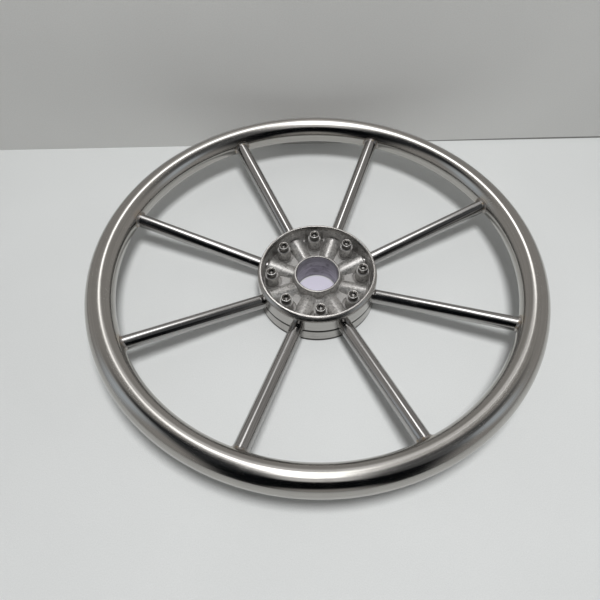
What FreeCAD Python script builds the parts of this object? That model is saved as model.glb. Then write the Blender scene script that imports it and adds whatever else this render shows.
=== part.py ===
import FreeCAD, Part
import Sketcher
import math
import os
import re

# A dished eight-spoke steering wheel of stainless steel, lying on its hub.
# The origin is on the wheel's axis at the hub's base, +Z up along that axis.
# The hub is two halves, clamped on the spokes by eight cap screws; the spokes are welded to the rim.

SHEET = "Dimensions"

# alias, value in millimetres, degrees or pieces, meaning
DIMENSIONS = (
    ("wheel_diameter", 450, "over the rim"),
    ("tube_diameter", 28, "rim tube, outside"),
    ("tube_wall", 1.5, "rim tube wall"),
    ("rim_height", 40, "rim tube's centre above the hub's base"),
    ("spoke_count", 8, "spokes, and clamp screws between them"),
    ("spoke_phase", 22.5, "first spoke's direction from +X"),
    ("spoke_diameter", 14, "spoke rod"),
    ("spoke_start", 27.5, "spoke's inner end from the wheel's axis"),
    ("spoke_cross", 41, "where a spoke's axis crosses the split face"),
    ("spoke_entry", 4, "spoke's length inside the rim tube"),
    ("spoke_chamfer", 0.6, "on both ends of a spoke"),
    ("spoke_play", 0.05, "clearance round a spoke in its hole or socket"),
    ("hub_diameter", 120, "both halves of the hub"),
    ("hub_height", 38.8, "hub's base to its lip"),
    ("split_height", 17, "split face between the halves"),
    ("split_chamfer", 0.5, "on both halves at the split"),
    ("base_chamfer", 0.8, "hub's bottom edge"),
    ("bore_diameter", 42, "shaft bore"),
    ("bore_chamfer", 0.6, "both ends of the shaft bore"),
    ("lip_width", 1.2, "flat land on top of the lip"),
    ("lip_round", 0.6, "round outside the lip"),
    ("lip_depth", 6.4, "polished band under the lip"),
    ("lip_inset", 0.3, "polished band stands back from the wall"),
    ("lip_draft", 1.8, "polished band leans in by this at its top"),
    ("dish_wall", 4.4, "dish wall's thickness under the lip"),
    ("dish_draft", 1.2, "dish wall thickens by this at the floor"),
    ("floor_height", 21, "dish floor above the hub's base"),
    ("floor_round", 3, "dish floor into its wall and its boss"),
    ("boss_diameter", 46.4, "boss round the bore, at its top"),
    ("boss_height", 31.2, "boss top above the hub's base"),
    ("boss_draft", 1.2, "boss thickens by this at the floor"),
    ("ridge_diameter", 19.2, "half-round ridge over a spoke"),
    ("ridge_end", 54, "ridge's outer end from the wheel's axis"),
    ("ridge_chamfer", 1.6, "ridge's outer end"),
    ("screw_circle", 91.8, "pitch circle of the clamp screws"),
    ("tower_diameter", 13.2, "screw tower at its top"),
    ("tower_draft", 0.3, "tower thickens by this at its foot"),
    ("tower_height", 32.1, "tower top above the hub's base"),
    ("pocket_width", 19.4, "milled pocket round a tower"),
    ("pocket_height", 20, "pocket floor above the hub's base"),
    ("pocket_end", 54.2, "pocket's outer end from the wheel's axis"),
    ("screw_diameter", 6, "clamp screw's thread"),
    ("screw_length", 25, "under the head"),
    ("screw_chamfer", 0.8, "screw's tip"),
    ("screw_hole", 6.6, "clearance hole in the clamp half"),
    ("thread_hole", 6.1, "threaded hole in the base half"),
    ("thread_depth", 12, "threaded hole below the split"),
    ("head_diameter", 10, "cap screw's head"),
    ("head_height", 6, "cap screw's head"),
    ("head_chamfer", 0.5, "cap screw's head"),
    ("key_width", 5, "hexagon socket across its flats"),
    ("key_depth", 3, "hexagon socket"),
    ("weld_leg", 2, "weld's reach along a spoke"),
    ("weld_root", 3, "weld's depth behind the tube's nearest point"),
    ("weld_edge", 0.15, "weld's thickness where it runs out on the spoke"),
    ("weld_foot", 2.4, "weld's thickness at its root"),
)

doc = FreeCAD.newDocument("SteeringWheel")
sheet = doc.addObject("Spreadsheet::Sheet", SHEET)


def fill_sheet():
    """One row for each driving dimension, with its alias."""
    for row, (alias, number, meaning) in enumerate(DIMENSIONS, 1):
        sheet.set(f"A{row}", meaning)
        sheet.set(f"B{row}", str(number))
        sheet.setAlias(f"B{row}", alias)
    doc.recompute()


def bound(text):
    """The expression with every alias pointed at the sheet."""
    aliases = "|".join(alias for alias, _, _ in DIMENSIONS)
    return re.sub(rf"\b({aliases})\b", rf"{SHEET}.\1", text)


def value(text):
    """What an expression of aliases comes to now."""
    answer = sheet.evalExpression(bound(text))
    return float(getattr(answer, "Value", answer))


def origin_feature(body, role):
    return next(item for item in body.Origin.OriginFeatures if item.Role == role)


def new_body(label):
    body = doc.addObject("PartDesign::Body", label)
    body.Label = label
    return body


def new_sketch(body, name, plane="XZ_Plane", turn=None, lift=None):
    """A sketch on a plane of its body; turn swings it about the wheel's axis, lift raises it."""
    sketch = body.newObject("Sketcher::SketchObject", f"{body.Label}_{name}")
    sketch.AttachmentSupport = [(origin_feature(body, plane), "")]
    sketch.MapMode = "FlatFace"
    if turn:
        swing = FreeCAD.Rotation(FreeCAD.Vector(0, 1, 0), value(turn))
        sketch.AttachmentOffset = FreeCAD.Placement(FreeCAD.Vector(), swing)
        sketch.setExpression("AttachmentOffset.Rotation.Angle", bound(turn))
    if lift:
        sketch.setExpression("AttachmentOffset.Base.z", bound(lift))
    return sketch


def dimension(sketch, edge, end, x_text, y_text=None):
    """Dimension one end of an edge from the sketch's origin, in X alone where no Y is given."""
    for kind, text, axis in (("DistanceX", x_text, -2), ("DistanceY", y_text, -1)):
        if text is None:
            continue
        number = value(text)
        if abs(number) < 1e-9:
            sketch.addConstraint(Sketcher.Constraint("PointOnObject", edge, end, axis))
            continue
        index = sketch.addConstraint(Sketcher.Constraint(kind, -1, 1, edge, end, number))
        sketch.setExpression(f"Constraints[{index}]", bound(text))


def outline(sketch, corners):
    """A closed outline of straight edges; each corner is a pair of expressions."""
    spots = [FreeCAD.Vector(value(x), value(y), 0) for x, y in corners]
    count = len(spots)
    first = sketch.GeometryCount
    for index, spot in enumerate(spots):
        sketch.addGeometry(Part.LineSegment(spot, spots[(index + 1) % count]), False)
    for index in range(count):
        after = first + (index + 1) % count
        sketch.addConstraint(Sketcher.Constraint("Coincident", first + index, 2, after, 1))
    for index, (x_text, y_text) in enumerate(corners):
        dimension(sketch, first + index, 1, x_text, y_text)


def centre_line(sketch, start, end):
    """A construction line that a feature turns about."""
    ends = [FreeCAD.Vector(value(x), value(y), 0) for x, y in (start, end)]
    edge = sketch.addGeometry(Part.LineSegment(*ends), True)
    dimension(sketch, edge, 1, *start)
    dimension(sketch, edge, 2, *end)


def circle(sketch, x_text, y_text, diameter_text):
    centre = FreeCAD.Vector(value(x_text), value(y_text), 0)
    radius = value(diameter_text) / 2
    edge = sketch.addGeometry(Part.Circle(centre, FreeCAD.Vector(0, 0, 1), radius), False)
    dimension(sketch, edge, 3, x_text, y_text)
    index = sketch.addConstraint(Sketcher.Constraint("Diameter", edge, 2 * radius))
    sketch.setExpression(f"Constraints[{index}]", bound(diameter_text))


def turned(body, kind, sketch, axis="V_Axis"):
    """A Revolution or Groove of a sketch, all the way round one of its axes."""
    before = body.Shape.Volume if kind == "Groove" else 0
    feature = body.newObject(f"PartDesign::{kind}", f"{sketch.Name}_{kind.lower()}")
    feature.Profile = sketch
    feature.ReferenceAxis = (sketch, [axis])
    feature.Angle = 360
    sketch.Visibility = False
    doc.recompute()
    if kind == "Groove":
        expect_cut(body, before)
    return feature


def ringed(body, feature):
    """The feature repeated evenly round the wheel's axis."""
    before = body.Shape.Volume
    pattern = body.newObject("PartDesign::PolarPattern", f"{feature.Name}_ring")
    pattern.Originals = [feature]
    pattern.Axis = (origin_feature(body, "Z_Axis"), [""])
    pattern.Angle = 360
    pattern.setExpression("Occurrences", bound("spoke_count"))
    body.Tip = pattern
    doc.recompute()
    if abs(body.Shape.Volume - before) < 1e-3:
        raise RuntimeError(f"{pattern.Name} changed nothing")
    return pattern


def expect_cut(body, before):
    if body.Shape.Volume >= before - 1e-3:
        raise RuntimeError(f"{body.Label}: a cut removed nothing")


def ring_edges(shape, diameter, height):
    """Names of the circular edges of this size at this height."""
    names = []
    for index, edge in enumerate(shape.Edges, 1):
        curve = edge.Curve
        if not isinstance(curve, Part.Circle):
            continue
        if abs(2 * curve.Radius - diameter) < 0.01 and abs(curve.Center.z - height) < 0.01:
            names.append(f"Edge{index}")
    return names


def rounded(body, rings, radius_text):
    """Fillet the circular edges given as (diameter, height) expressions."""
    base = body.Tip
    names = []
    for diameter, height in rings:
        found = ring_edges(base.Shape, value(diameter), value(height))
        if not found:
            raise RuntimeError(f"{body.Label}: no edge at {diameter}, {height}")
        names += found
    fillet = body.newObject("PartDesign::Fillet", f"{body.Label}_round")
    fillet.Base = (base, names)
    fillet.setExpression("Radius", bound(radius_text))
    doc.recompute()
    return fillet


RIM_RADIUS = "(wheel_diameter / 2 - tube_diameter / 2)"
SLOPE = f"((rim_height - split_height) / ({RIM_RADIUS} - spoke_cross))"
TILT = f"atan({SLOPE})"
HUB_RADIUS = "hub_diameter / 2"
SCREW_RADIUS = "screw_circle / 2"


def along_spoke(distance, offset="0"):
    """The point at a distance along a spoke's axis from its split crossing, and off the axis."""
    x = f"spoke_cross + ({distance}) * cos({TILT}) - ({offset}) * sin({TILT})"
    y = f"split_height + ({distance}) * sin({TILT}) + ({offset}) * cos({TILT})"
    return x, y


def reach(radius):
    """Distance along a spoke's axis, from its split crossing, to a radius from the wheel's axis."""
    return f"(({radius}) - spoke_cross) / cos({TILT})"


def spoke_space(body, name, diameter, start, end, kind, chamfer="0"):
    """A round bar or hole on the first spoke's axis, repeated for every spoke."""
    sketch = new_sketch(body, name, turn="spoke_phase")
    half = f"({diameter}) / 2"
    corners = [along_spoke(start), along_spoke(start, half)]
    if value(chamfer):
        corners += [along_spoke(f"{end} - {chamfer}", half), along_spoke(end, f"{half} - {chamfer}")]
    else:
        corners += [along_spoke(end, half)]
    corners += [along_spoke(end)]
    centre_line(sketch, along_spoke(start), along_spoke(end))
    outline(sketch, corners)
    return ringed(body, turned(body, kind, sketch, "Axis0"))


def screw_space(body, name, diameter, low, high, kind, foot_extra="0", point=None):
    """A round post or hole on the first screw's axis, repeated for every screw."""
    sketch = new_sketch(body, name)
    outer = f"{SCREW_RADIUS} + ({diameter}) / 2"
    corners = [(SCREW_RADIUS, high), (outer, high), (f"{outer} + {foot_extra}", low)]
    corners.append((SCREW_RADIUS, point or low))
    centre_line(sketch, (SCREW_RADIUS, low), (SCREW_RADIUS, high))
    outline(sketch, corners)
    return ringed(body, turned(body, kind, sketch, "Axis0"))


SPOKE_HOLE = "spoke_diameter + 2 * spoke_play"
SOCKET_START = reach("spoke_start - 1")


def make_rim_tube():
    """The rolled tube, with a hole through its inner wall for every spoke."""
    body = new_body("rim_tube")
    sketch = new_sketch(body, "section")
    circle(sketch, RIM_RADIUS, "rim_height", "tube_diameter")
    circle(sketch, RIM_RADIUS, "rim_height", "tube_diameter - 2 * tube_wall")
    turned(body, "Revolution", sketch)
    inner = f"{RIM_RADIUS} - tube_diameter / 2"
    start = reach(f"{inner} - tube_wall")
    end = reach(f"{inner} + 2 * tube_wall + 1")
    spoke_space(body, "spoke_holes", SPOKE_HOLE, start, end, "Groove")
    return body


def make_spoke(number):
    """A solid rod that rises from the hub to the rim."""
    body = new_body(f"spoke_{number}")
    sketch = new_sketch(body, "profile")
    start = reach("spoke_start")
    end = reach(f"{RIM_RADIUS} - tube_diameter / 2 + spoke_entry")
    radius = "spoke_diameter / 2"
    corners = [
        (start, "0"),
        (start, f"{radius} - spoke_chamfer"),
        (f"{start} + spoke_chamfer", radius),
        (f"{end} - spoke_chamfer", radius),
        (end, f"{radius} - spoke_chamfer"),
        (end, "0"),
    ]
    outline(sketch, corners)
    turned(body, "Revolution", sketch, "H_Axis")
    body.Placement = spoke_place(number)
    return body


def spoke_angle(number):
    """Direction of a spoke from +X, in degrees."""
    return value("spoke_phase") + (number - 1) * 360 / value("spoke_count")


def spoke_place(number):
    """Puts +X of a piece on a spoke's axis, with its zero where that axis crosses the split."""
    angle = spoke_angle(number)
    spin = FreeCAD.Rotation(FreeCAD.Vector(0, 0, 1), angle)
    rise = FreeCAD.Rotation(FreeCAD.Vector(0, 1, 0), -value(TILT))
    crossing = FreeCAD.Vector(value("spoke_cross"), 0, value("split_height"))
    return FreeCAD.Placement(spin.multVec(crossing), spin.multiply(rise))


def make_weld(number):
    """The bead between a spoke and the rim tube, dressed to a small cone."""
    name = f"rim_weld_{number}"
    surface = reach(f"{RIM_RADIUS} - tube_diameter / 2")
    cone = doc.addObject("Part::Cone", f"{name}_bead")
    cone.setExpression("Radius1", bound("spoke_diameter / 2 + weld_edge"))
    cone.setExpression("Radius2", bound("spoke_diameter / 2 + weld_foot"))
    cone.setExpression("Height", bound("weld_leg + weld_root"))
    rod = doc.addObject("Part::Cylinder", f"{name}_rod")
    rod.setExpression("Radius", bound("spoke_diameter / 2"))
    rod.setExpression("Height", bound("3 * (weld_leg + weld_root)"))
    for piece, back in ((cone, "weld_leg"), (rod, "weld_leg + weld_root")):
        start = FreeCAD.Vector(value(f"{surface} - ({back})"), 0, 0)
        lie = FreeCAD.Rotation(FreeCAD.Vector(0, 1, 0), 90)
        piece.Placement = spoke_place(1).multiply(FreeCAD.Placement(start, lie))
    tube = doc.addObject("Part::Torus", f"{name}_tube")
    tube.setExpression("Radius1", bound(RIM_RADIUS))
    tube.setExpression("Radius2", bound("tube_diameter / 2"))
    tube.setExpression("Placement.Base.z", bound("rim_height"))
    outside = doc.addObject("Part::Cut", f"{name}_outside")
    outside.Base = cone
    outside.Tool = tube
    weld = doc.addObject("Part::Cut", name)
    weld.Base = outside
    weld.Tool = rod
    weld.Label = name
    turn = FreeCAD.Rotation(FreeCAD.Vector(0, 0, 1), spoke_angle(number) - spoke_angle(1))
    weld.Placement = FreeCAD.Placement(FreeCAD.Vector(), turn)
    return weld


def make_base_half():
    """The plain half: a thick disc with half a socket for each spoke and the threaded holes."""
    body = new_body("hub_base_half")
    sketch = new_sketch(body, "section")
    bore = "bore_diameter / 2"
    corners = [
        (f"{bore} + bore_chamfer", "0"),
        (f"{HUB_RADIUS} - base_chamfer", "0"),
        (HUB_RADIUS, "base_chamfer"),
        (HUB_RADIUS, "split_height - split_chamfer"),
        (f"{HUB_RADIUS} - split_chamfer", "split_height"),
        (bore, "split_height"),
        (bore, "bore_chamfer"),
    ]
    outline(sketch, corners)
    turned(body, "Revolution", sketch)
    spoke_space(body, "sockets", SPOKE_HOLE, SOCKET_START, reach(f"{HUB_RADIUS} + 4"), "Groove")
    bottom = "split_height - thread_depth"
    tip = f"{bottom} - thread_hole / 4"
    screw_space(body, "threads", "thread_hole", bottom, "split_height + 1", "Groove", point=tip)
    return body


def make_clamp_half():
    """The dished half: lip, boss, a ridge over each spoke and a tower under each screw."""
    body = new_body("hub_clamp_half")
    turned(body, "Revolution", dish_section(body))
    rounded(body, [("hub_diameter - 2 * (lip_inset + lip_draft)", "hub_height")], "lip_round")
    start = reach("boss_diameter / 2")
    end = reach("ridge_end")
    spoke_space(body, "ridges", "ridge_diameter", start, end, "Revolution", "ridge_chamfer")
    cut_pockets(body)
    low = "floor_height - 2"
    screw_space(body, "towers", "tower_diameter", low, "tower_height", "Revolution", "tower_draft")
    clear_below_split(body)
    spoke_space(body, "sockets", SPOKE_HOLE, SOCKET_START, reach(f"{HUB_RADIUS} + 4"), "Groove")
    screw_space(body, "holes", "screw_hole", "split_height - 1", "tower_height + 1", "Groove")
    return body


def dish_section(body):
    """Half the section of the dished half, right of the wheel's axis."""
    sketch = new_sketch(body, "section")
    bore = "bore_diameter / 2"
    band = f"({HUB_RADIUS} - lip_inset)"
    inner = f"({HUB_RADIUS} - dish_wall)"
    boss = "(boss_diameter / 2)"
    step = "floor_round * 0.3"
    corners = [
        (bore, "split_height"),
        (f"{HUB_RADIUS} - split_chamfer", "split_height"),
        (HUB_RADIUS, "split_height + split_chamfer"),
        (HUB_RADIUS, "hub_height - lip_depth - lip_inset"),
        (band, "hub_height - lip_depth"),
        (f"{band} - lip_draft", "hub_height"),
        (f"{inner} + lip_width / 2", "hub_height"),
        (inner, "hub_height - lip_width / 2"),
        (f"{inner} - dish_draft", "floor_height + floor_round"),
        (f"{inner} - dish_draft - {step}", "floor_height + floor_round * 0.3"),
        (f"{inner} - dish_draft - floor_round", "floor_height"),
        (f"{boss} + boss_draft + floor_round", "floor_height"),
        (f"{boss} + boss_draft + {step}", "floor_height + floor_round * 0.3"),
        (f"{boss} + boss_draft", "floor_height + floor_round"),
        (boss, "boss_height"),
        (f"{bore} + bore_chamfer", "boss_height"),
        (bore, "boss_height - bore_chamfer"),
    ]
    outline(sketch, corners)
    return sketch


def cut_pockets(body):
    """A round-ended pocket about each tower's place, open towards the dish wall."""
    before = body.Shape.Volume
    sketch = new_sketch(body, "pockets", plane="XY_Plane", lift="pocket_height")
    round_ended(sketch, SCREW_RADIUS, "pocket_width / 2", "pocket_end")
    pocket = body.newObject("PartDesign::Pocket", f"{sketch.Name}_cut")
    pocket.Profile = sketch
    pocket.Reversed = True
    pocket.setExpression("Length", bound("boss_height"))
    sketch.Visibility = False
    doc.recompute()
    expect_cut(body, before)
    ringed(body, pocket)


def round_ended(sketch, centre_text, radius_text, end_text):
    """A slot along X with a half-round near end about a centre on X and a square far end."""
    centre, radius, end = (value(text) for text in (centre_text, radius_text, end_text))
    corners = ((centre, -radius), (end, -radius), (end, radius), (centre, radius))
    spots = [FreeCAD.Vector(x, y, 0) for x, y in corners]
    near = FreeCAD.Vector(centre - radius, 0, 0)
    for one, two in zip(spots, spots[1:]):
        sketch.addGeometry(Part.LineSegment(one, two), False)
    sketch.addGeometry(Part.Arc(spots[3], near, spots[0]), False)
    for index in range(4):
        after = (index + 1) % 4
        sketch.addConstraint(Sketcher.Constraint("Coincident", index, 2, after, 1))
    turn = sketch.addConstraint(Sketcher.Constraint("Radius", 3, radius))
    sketch.setExpression(f"Constraints[{turn}]", bound(radius_text))
    dimension(sketch, 3, 3, centre_text, "0")
    dimension(sketch, 0, 1, centre_text)
    dimension(sketch, 2, 2, centre_text)
    dimension(sketch, 1, 1, end_text, f"-({radius_text})")
    dimension(sketch, 2, 1, end_text, radius_text)


def clear_below_split(body):
    """Takes away what the round ridges put below the split face and into the bore."""
    sketch = new_sketch(body, "below_split")
    corners = [
        ("0", "0"),
        ("hub_diameter", "0"),
        ("hub_diameter", "split_height"),
        ("0", "split_height"),
    ]
    outline(sketch, corners)
    turned(body, "Groove", sketch)


def make_screw(number):
    """A socket cap screw, head up."""
    body = new_body(f"clamp_screw_{number}")
    sketch = new_sketch(body, "profile")
    shank = "screw_diameter / 2"
    head = "head_diameter / 2"
    corners = [
        ("0", "-screw_length"),
        (f"{shank} - screw_chamfer", "-screw_length"),
        (shank, "screw_chamfer - screw_length"),
        (shank, "0"),
        (head, "0"),
        (head, "head_height - head_chamfer"),
        (f"{head} - head_chamfer", "head_height"),
        ("0", "head_height"),
    ]
    outline(sketch, corners)
    turned(body, "Revolution", sketch)
    cut_key_socket(body)
    angle = math.radians((number - 1) * 360 / value("spoke_count"))
    radius = value(SCREW_RADIUS)
    seat = FreeCAD.Vector(radius * math.cos(angle), radius * math.sin(angle), value("tower_height"))
    spin = FreeCAD.Rotation(FreeCAD.Vector(0, 0, 1), math.degrees(angle))
    body.Placement = FreeCAD.Placement(seat, spin)
    return body


def cut_key_socket(body):
    """The hexagon socket in a screw's head."""
    before = body.Shape.Volume
    sketch = new_sketch(body, "key", plane="XY_Plane", lift="head_height")
    corner = "key_width / sqrt(3)"
    turns = [60 * side for side in range(6)]
    outline(sketch, [(f"{corner} * cos({turn})", f"{corner} * sin({turn})") for turn in turns])
    pocket = body.newObject("PartDesign::Pocket", f"{body.Label}_socket")
    pocket.Profile = sketch
    pocket.setExpression("Length", bound("key_depth"))
    sketch.Visibility = False
    doc.recompute()
    expect_cut(body, before)


def check_model(parts):
    """Stops before anything is written if an object failed or a shape is bad."""
    for item in doc.Objects:
        if {"Invalid", "Error"} & set(item.State):
            raise RuntimeError(f"{item.Name} failed: {item.State}")
    for part in parts:
        if part.Shape.isNull() or not part.Shape.isValid():
            raise RuntimeError(f"{part.Label} has a bad shape")
        if len(part.Shape.Solids) != 1:
            raise RuntimeError(f"{part.Label} is {len(part.Shape.Solids)} solids")


def main():
    fill_sheet()
    numbers = range(1, int(value("spoke_count")) + 1)
    parts = [make_rim_tube(), make_base_half(), make_clamp_half()]
    parts += [make_spoke(number) for number in numbers]
    parts += [make_weld(number) for number in numbers]
    parts += [make_screw(number) for number in numbers]
    doc.recompute()
    check_model(parts)
    os.makedirs("parts", exist_ok=True)
    for part in parts:
        part.Shape.exportStep(f"parts/{part.Label}.step")
        print(f"{part.Label}: {part.Shape.Volume / 1000:.2f} cm3")


main()
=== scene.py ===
import math

import bpy
from bpy.props import FloatProperty, FloatVectorProperty, IntProperty, PointerProperty
from bpy.types import Operator, Panel, PropertyGroup
from mathutils import Matrix, Vector


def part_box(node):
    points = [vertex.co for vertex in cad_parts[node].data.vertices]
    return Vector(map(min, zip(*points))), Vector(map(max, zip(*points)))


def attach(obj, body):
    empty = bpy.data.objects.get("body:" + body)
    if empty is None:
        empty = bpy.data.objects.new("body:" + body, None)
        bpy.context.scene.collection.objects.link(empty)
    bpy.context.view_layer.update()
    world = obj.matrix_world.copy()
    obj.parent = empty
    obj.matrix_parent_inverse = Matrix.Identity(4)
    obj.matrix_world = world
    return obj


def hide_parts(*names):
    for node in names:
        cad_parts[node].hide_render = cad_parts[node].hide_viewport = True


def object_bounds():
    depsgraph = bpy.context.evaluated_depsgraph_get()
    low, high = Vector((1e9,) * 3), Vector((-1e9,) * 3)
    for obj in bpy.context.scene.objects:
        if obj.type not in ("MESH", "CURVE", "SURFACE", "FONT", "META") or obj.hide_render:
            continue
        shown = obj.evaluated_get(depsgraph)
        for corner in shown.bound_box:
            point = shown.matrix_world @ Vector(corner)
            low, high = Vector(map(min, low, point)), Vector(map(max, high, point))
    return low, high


bl_info = {
    "name": "Ship Steering Wheel",
    "version": (1, 0, 0),
    "blender": (4, 5, 0),
    "location": "3D View > Sidebar > Wheel",
    "description": "Finishes a dished stainless steel steering wheel, piece by piece",
    "category": "Add Mesh",
}

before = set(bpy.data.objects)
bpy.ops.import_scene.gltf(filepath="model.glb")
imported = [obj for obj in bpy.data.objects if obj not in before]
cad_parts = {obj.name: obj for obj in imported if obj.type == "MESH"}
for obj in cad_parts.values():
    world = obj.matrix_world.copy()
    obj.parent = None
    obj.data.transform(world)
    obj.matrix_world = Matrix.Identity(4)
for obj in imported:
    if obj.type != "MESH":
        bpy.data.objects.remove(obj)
CAD_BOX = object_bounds()
RIM_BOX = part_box("rim_tube")
BASE_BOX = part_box("hub_base_half")
CLAMP_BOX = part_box("hub_clamp_half")
SCREW_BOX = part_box("clamp_screw_1")
COUNT = sum(name.startswith("spoke_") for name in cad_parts)
TUBE_RADIUS = (RIM_BOX[1].z - RIM_BOX[0].z) / 2

# The hub's own heights and radii, in metres; the materials' masks are laid out from them.
LIP_DEPTH = 0.0064
LIP_REACH = 0.0034
BORE_REACH = 0.0212
BOSS_REACH = 0.0236
BOSS_TOP = 0.0305
# Heights of the painted shade along the hub's foot and at its split.
FOOT_SHADE = 0.0030
SPLIT_SEAM = 0.0022
SPLIT_SEAM_ABOVE = 0.0009

# The clamp screws: M6 thread, 10 mm head, 5 mm socket, in metres.
HEAD_HEIGHT = 0.006
SHANK_RADIUS = 0.003
SHANK_LENGTH = 0.025
SOCKET_FLAT = 0.0025
TOOTH_DEPTH = 0.00016


# ---------------------------------------------------------------- settings


class WheelSizes(PropertyGroup):
    """Sizes of the pieces that are made finer than their frame nodes."""

    rim_radius: FloatProperty(
        name="Rim radius",
        description="From the wheel's axis to the middle of the rim tube",
        default=RIM_BOX[1].x - TUBE_RADIUS,
        min=0.1,
        unit="LENGTH",
    )
    tube_radius: FloatProperty(
        name="Tube radius",
        description="Outside radius of the rim tube",
        default=TUBE_RADIUS,
        min=0.005,
        unit="LENGTH",
    )
    rim_height: FloatProperty(
        name="Rim height",
        description="Middle of the rim tube above the hub's base",
        default=(RIM_BOX[0].z + RIM_BOX[1].z) / 2,
        unit="LENGTH",
    )
    spoke_radius: FloatProperty(
        name="Spoke radius",
        description="Radius of the spoke rods",
        default=0.007,
        min=0.002,
        unit="LENGTH",
    )
    spoke_start: FloatProperty(
        name="Spoke start",
        description="From the wheel's axis to the spokes' inner ends",
        default=0.0275,
        unit="LENGTH",
    )
    spoke_cross: FloatProperty(
        name="Spoke crossing",
        description="From the wheel's axis to where a spoke crosses the hub's split",
        default=0.041,
        unit="LENGTH",
    )
    spoke_entry: FloatProperty(
        name="Spoke entry",
        description="How far a spoke goes into the rim tube",
        default=0.004,
        unit="LENGTH",
    )
    split_height: FloatProperty(
        name="Split height",
        description="The hub's split above its base",
        default=BASE_BOX[1].z,
        unit="LENGTH",
    )
    weld_leg: FloatProperty(
        name="Weld leg",
        description="Reach of a weld along the spoke and out over the tube",
        default=0.0021,
        min=0.0005,
        unit="LENGTH",
    )
    weld_ripples: IntProperty(
        name="Weld ripples",
        description="Ripples round one weld",
        default=26,
        min=0,
    )
    screw_circle: FloatProperty(
        name="Screw circle radius",
        description="From the wheel's axis to a clamp screw's axis",
        default=(SCREW_BOX[0].x + SCREW_BOX[1].x) / 2,
        unit="LENGTH",
    )
    screw_seat: FloatProperty(
        name="Screw seat height",
        description="Under a screw's head, above the hub's base",
        default=SCREW_BOX[1].z - HEAD_HEIGHT,
        unit="LENGTH",
    )
    head_radius: FloatProperty(
        name="Head radius",
        description="Radius of a clamp screw's head",
        default=0.005,
        min=0.002,
        unit="LENGTH",
    )
    thread_pitch: FloatProperty(
        name="Thread pitch",
        description="Pitch of the clamp screws' thread",
        default=0.001,
        min=0.0003,
        unit="LENGTH",
    )


def colour_property(name, description, default):
    return FloatVectorProperty(
        name=name, description=description, default=default, subtype="COLOR", size=3, min=0, max=1
    )


class WheelFinishes(PropertyGroup):
    """Colours of the wheel's steels."""

    rim: colour_property("Rim", "Polished rolled tube", (0.46, 0.445, 0.42))
    spokes: colour_property("Spokes", "Bright drawn rod", (0.45, 0.44, 0.43))
    hub: colour_property("Hub", "Turned and polished casting", (0.47, 0.455, 0.435))
    dish: colour_property("Dish", "Tumbled casting inside the dish", (0.60, 0.585, 0.565))
    welds: colour_property("Welds", "Dressed weld metal", (0.42, 0.40, 0.385))
    # Painted shade: the bore's wall is given this darker colour for the shade inside the bore.
    bore: colour_property("Bore", "Dull bored wall", (0.34, 0.33, 0.345))
    screws: colour_property("Screws", "Plain stainless screws", (0.66, 0.65, 0.63))
    tint: colour_property("Heat tint", "Straw tint left by welding", (0.55, 0.42, 0.27))
    # Painted shade: this dark colour is laid into hollow corners, screw sockets and heads, and
    # along the hub's foot and split, where shade falls.
    painted_shade: colour_property("Painted shade", "Film left in corners and sockets", (0.10, 0.09, 0.08))


class WheelStudio(PropertyGroup):
    """The table, the wall behind it and the light."""

    table: colour_property("Table", "Pale table top", (0.76, 0.775, 0.77))
    wall: colour_property("Wall", "Pale wall behind the table", (0.66, 0.66, 0.645))
    wall_distance: FloatProperty(
        name="Wall distance",
        description="From the wheel's axis to the wall",
        default=0.233,
        unit="LENGTH",
    )
    wall_height: FloatProperty(
        name="Wall height", description="Height of the wall", default=0.30, unit="LENGTH"
    )
    lamp: FloatProperty(
        name="Lamp strength",
        description="Radiance of the long overhead lamp that the steel mirrors",
        default=5.0,
        min=0,
    )
    room: FloatProperty(
        name="Room light", description="Radiance of the pale room", default=0.36, min=0
    )
    fill: FloatProperty(
        name="Fill light", description="Even light on the table and wall", default=0.20, min=0
    )
    key: FloatProperty(
        name="Key light", description="Power of the soft lamp over the table", default=16.2, min=0
    )
    shade: FloatProperty(
        name="Room shade",
        description="Radiance of the dark end of the room",
        default=0.004,
        min=0,
    )
    lens: FloatProperty(
        name="Lens", description="Focal length of the camera", default=34.63, min=10
    )


# ------------------------------------------------------------------ meshes


def mesh_object(name, mesh, matrix, nodes):
    """An object in its place, riding on the wheel's one body and standing for its nodes."""
    piece = bpy.data.objects.new(name, mesh)
    piece.matrix_world = matrix
    bpy.context.scene.collection.objects.link(piece)
    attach(piece, "root")
    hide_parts(*nodes)
    return piece


def ring_mesh(name, rings, closed_rings=False, caps=(None, None)):
    """A smooth mesh from rings of as many points each; a cap is a point that closes an end."""
    sides = len(rings[0])
    points = [point for ring in rings for point in ring]
    faces = []
    spans = len(rings) if closed_rings else len(rings) - 1
    for row in range(spans):
        low, high = row * sides, (row + 1) % len(rings) * sides
        for side in range(sides):
            after = (side + 1) % sides
            faces.append((low + side, low + after, high + after, high + side))
    for cap, row in zip(caps, (0, len(rings) - 1)):
        if cap is None:
            continue
        points.append(cap)
        tip, start = len(points) - 1, row * sides
        for side in range(sides):
            pair = (start + side, start + (side + 1) % sides)
            faces.append((*(pair if row else pair[::-1]), tip))
    mesh = bpy.data.meshes.new(name)
    mesh.from_pydata([tuple(point) for point in points], [], faces)
    mesh.shade_smooth()
    mesh.validate()
    return mesh


def circle_angles(sides):
    return [math.tau * side / sides for side in range(sides)]


def turned_rings(profile, sides):
    """Rings about +Z for a profile of (radius, height)."""
    return [
        [(radius * math.cos(a), radius * math.sin(a), height) for a in circle_angles(sides)]
        for radius, height in profile
    ]


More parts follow.
